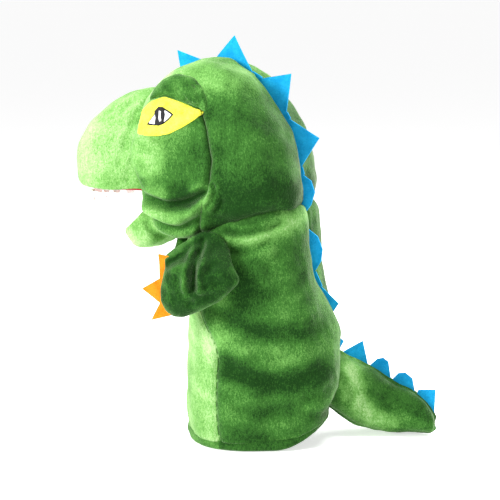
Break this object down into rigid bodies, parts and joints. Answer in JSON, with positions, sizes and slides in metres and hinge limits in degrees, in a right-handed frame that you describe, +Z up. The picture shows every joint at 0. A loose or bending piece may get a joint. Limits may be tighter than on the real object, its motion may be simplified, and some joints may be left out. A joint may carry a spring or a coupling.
{
  "type": "moving mouth puppet",
  "caption": "Plush dinosaur hand puppet with an opening mouth, felt teeth, spikes and claws, a turning head, swinging arms and a stuffed tail; stands on its hem.",
  "frame": {"origin": "on the surface that the hem stands on, under the middle of the puppet's bounding box", "axes": "+Z up; the body faces -Y; the puppet's own left side is +X; the head is turned 26 degrees to its right at rest"},
  "size_m": [0.1388, 0.2341, 0.2615],
  "materials": {
    "green_plush": "short pile plush with sheen",
    "blue_felt": "matt felt",
    "orange_felt": "matt felt",
    "white_felt": "matt felt",
    "yellow_felt": "matt felt",
    "white_thread": "satin stitch",
    "black_thread": "satin stitch",
    "red_lining": "matt cloth",
    "sleeve_cloth": "matt cloth",
    "stuffing": "loose fibre",
    "mouth_board": "matt"
  },
  "bodies": {
    "body": {"belly_panel": "green_plush", "left_side_panel": "green_plush", "right_side_panel": "green_plush", "bottom_hem": "green_plush", "back_spike_6": "blue_felt", "back_spike_7": "blue_felt", "back_spike_8": "blue_felt"},
    "neck": {"neck_sleeve": "sleeve_cloth"},
    "head": {"left_cheek_panel": "green_plush", "left_hood_panel": "green_plush", "right_cheek_panel": "green_plush", "right_hood_panel": "green_plush", "throat_panel": "green_plush", "head_stuffing": "stuffing", "left_eye_patch": "yellow_felt", "left_eye": "white_thread", "left_pupil": "black_thread", "right_eye_patch": "yellow_felt", "right_eye": "white_thread", "right_pupil": "black_thread", "left_brow": "green_plush", "right_brow": "green_plush", "back_spike_1": "blue_felt", "back_spike_2": "blue_felt", "back_spike_3": "blue_felt", "back_spike_4": "blue_felt", "back_spike_5": "blue_felt"},
    "upper_jaw": {"snout_top_panel": "green_plush", "left_snout_panel": "green_plush", "right_snout_panel": "green_plush", "snout_stuffing": "stuffing", "finger_pocket": "sleeve_cloth", "upper_mouth_board": "mouth_board", "upper_mouth_lining": "red_lining", "upper_teeth": "white_felt"},
    "lower_jaw": {"lower_jaw_skin": "green_plush", "lower_jaw_stuffing": "stuffing", "thumb_pocket": "sleeve_cloth", "lower_mouth_board": "mouth_board", "lower_mouth_lining": "red_lining", "lower_teeth": "white_felt"},
    "left_arm": {"left_arm_skin": "green_plush", "left_arm_stuffing": "stuffing", "left_claw_1": "orange_felt", "left_claw_2": "orange_felt", "left_claw_3": "orange_felt"},
    "right_arm": {"right_arm_skin": "green_plush", "right_arm_stuffing": "stuffing", "right_claw_1": "orange_felt", "right_claw_2": "orange_felt", "right_claw_3": "orange_felt"},
    "tail": {"left_tail_panel": "green_plush", "right_tail_panel": "green_plush", "tail_stuffing": "stuffing", "tail_spike_1": "blue_felt", "tail_spike_2": "blue_felt", "tail_spike_3": "blue_felt", "tail_spike_4": "blue_felt"}
  },
  "joints": [
    {"name": "neck_turn", "type": "hinge", "parent": "body", "child": "neck", "pos_m": [0.005, -0.003, 0.14], "axis": [0, 0, 1], "range_deg": [-4, 30], "stiffness_Nm_per_rad": 0.3},
    {"name": "head_nod", "type": "hinge", "parent": "neck", "child": "head", "pos_m": [0.005, -0.003, 0.15], "axis": [0.8988, -0.4384, 0], "range_deg": [-10, 2], "stiffness_Nm_per_rad": 1.5},
    {"name": "upper_jaw_lift", "type": "hinge", "parent": "head", "child": "upper_jaw", "pos_m": [-0.01692, -0.04794, 0.198], "axis": [0.8988, -0.4384, 0], "range_deg": [-12, 3], "stiffness_Nm_per_rad": 0.6},
    {"name": "lower_jaw_drop", "type": "hinge", "parent": "head", "child": "lower_jaw", "pos_m": [-0.01911, -0.05243, 0.157], "axis": [0.8988, -0.4384, 0], "range_deg": [-24, 1], "stiffness_Nm_per_rad": 0.15},
    {"name": "left_arm_lift", "type": "hinge", "parent": "body", "child": "left_arm", "pos_m": [0.044, -0.042, 0.133], "axis": [-0.3499, -0.9368, 0], "range_deg": [0, 70], "stiffness_Nm_per_rad": 0.02},
    {"name": "right_arm_lift", "type": "hinge", "parent": "body", "child": "right_arm", "pos_m": [-0.034, -0.042, 0.126], "axis": [-0.3499, 0.9368, 0], "range_deg": [-4, 24], "stiffness_Nm_per_rad": 0.02},
    {"name": "tail_wag", "type": "hinge", "parent": "body", "child": "tail", "pos_m": [0.005, 0.057, 0.03], "axis": [0, 0, 1], "range_deg": [-25, 25], "stiffness_Nm_per_rad": 0.05}
  ]
}
